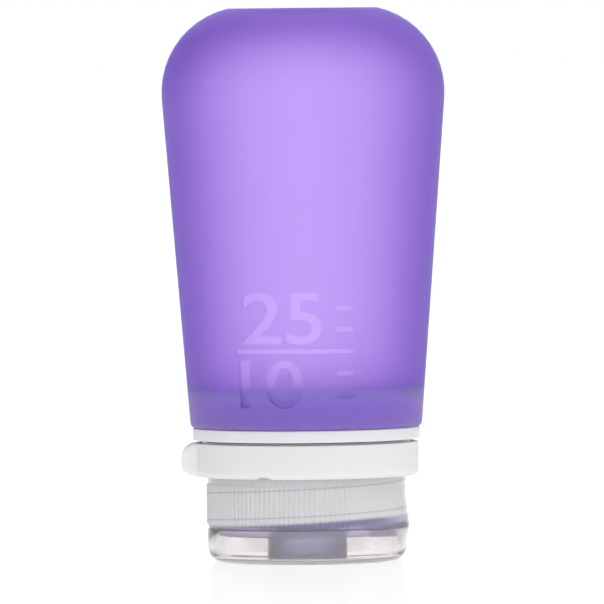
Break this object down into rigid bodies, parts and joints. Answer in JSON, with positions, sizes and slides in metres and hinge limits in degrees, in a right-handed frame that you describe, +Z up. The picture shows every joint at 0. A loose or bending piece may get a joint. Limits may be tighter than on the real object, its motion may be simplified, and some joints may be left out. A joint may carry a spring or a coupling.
{
  "type": "travel squeeze bottle",
  "caption": "Soft drafted squeeze bottle standing on a flip-lid screw cap, with a collar, a slit valve and a slip-on carrying loop.",
  "frame": {"origin": "centre of the closed lid's flat base, on which the bottle stands", "axes": "+Z up the bottle to the closed silicone end, -Y towards the marked front, -X towards the loop's pull tab"},
  "size_m": [0.0524, 0.0524, 0.1023],
  "materials": {
    "body_silicone": "translucent satin silicone",
    "collar_white": "fine satin",
    "cap_frosted": "frosted translucent",
    "valve_silicone": "soft translucent",
    "retainer_white": "satin",
    "strap_natural": "translucent",
    "lid_clear": "clear gloss",
    "loop_white": "frosted soft"
  },
  "bodies": {
    "bottle": {"bottle_body": "body_silicone", "threaded_collar": "collar_white"},
    "cap_carrier": {"valve_retainer": "retainer_white"},
    "screw_cap": {"cap": "cap_frosted", "valve": "valve_silicone", "hinge_strap": "strap_natural"},
    "flip_lid": {"lid": "lid_clear"},
    "carry_loop": {"loop": "loop_white"}
  },
  "joints": [
    {"name": "cap_rise", "type": "slide", "parent": "bottle", "child": "cap_carrier", "axis": [0, 0, -1], "range_m": [0, 0.016]},
    {"name": "cap_turn", "type": "hinge", "parent": "cap_carrier", "child": "screw_cap", "pos_m": [0, 0, 0.0064], "axis": [0, 0, -1], "range_deg": [0, 1150]},
    {"name": "lid_flip", "type": "hinge", "parent": "screw_cap", "child": "flip_lid", "pos_m": [-0.01762, 0.00712, 0.00635], "axis": [0.3746, 0.9272, 0], "range_deg": [0, 160], "deforming": ["hinge_strap"]},
    {"name": "loop_pull", "type": "slide", "parent": "screw_cap", "child": "carry_loop", "axis": [0, 0, -1], "range_m": [0, 0.026]}
  ],
  "couplings": [
    {"joint": "cap_rise", "follows": "cap_turn", "m_per_rad": 0.00079577}
  ]
}
